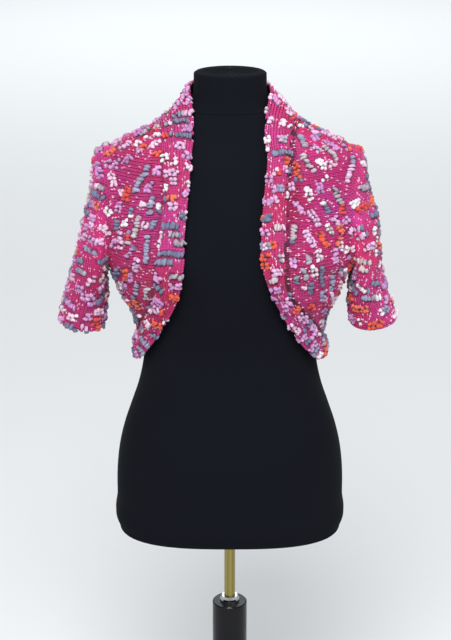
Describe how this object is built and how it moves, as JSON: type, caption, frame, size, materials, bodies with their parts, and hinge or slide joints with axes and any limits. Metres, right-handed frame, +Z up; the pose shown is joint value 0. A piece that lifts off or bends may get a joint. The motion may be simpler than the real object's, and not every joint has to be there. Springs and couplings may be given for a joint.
{
  "type": "knitted shrug on dress form",
  "caption": "Short-sleeved knitted shrug with a continuous front and neck band, worn on a limbless dress form with a rod, column and round foot.",
  "frame": {"origin": "on the floor at the centre of the foot's flat underside", "axes": "+Z up along the column to the neck, the front of the garment faces -Y, +X to the right of someone facing the front"},
  "size_m": [0.5294, 0.34, 1.3283],
  "materials": {
    "knit": "matte",
    "jersey": "matte",
    "yellow_zinc": "satin",
    "chrome": "polished",
    "black_metal": "gloss"
  },
  "bodies": {
    "root": {"back": "knit", "front_left": "knit", "front_right": "knit", "sleeve_left": "knit", "sleeve_right": "knit", "cuff_left": "knit", "cuff_right": "knit", "band_collar": "knit", "band_front_left": "knit", "band_front_right": "knit", "band_hem": "knit", "form_torso": "jersey", "form_knot": "jersey", "form_lug": "black_metal", "stand_rod": "yellow_zinc", "stand_collar": "chrome", "stand_column": "black_metal", "stand_foot": "black_metal"}
  },
  "joints": []
}
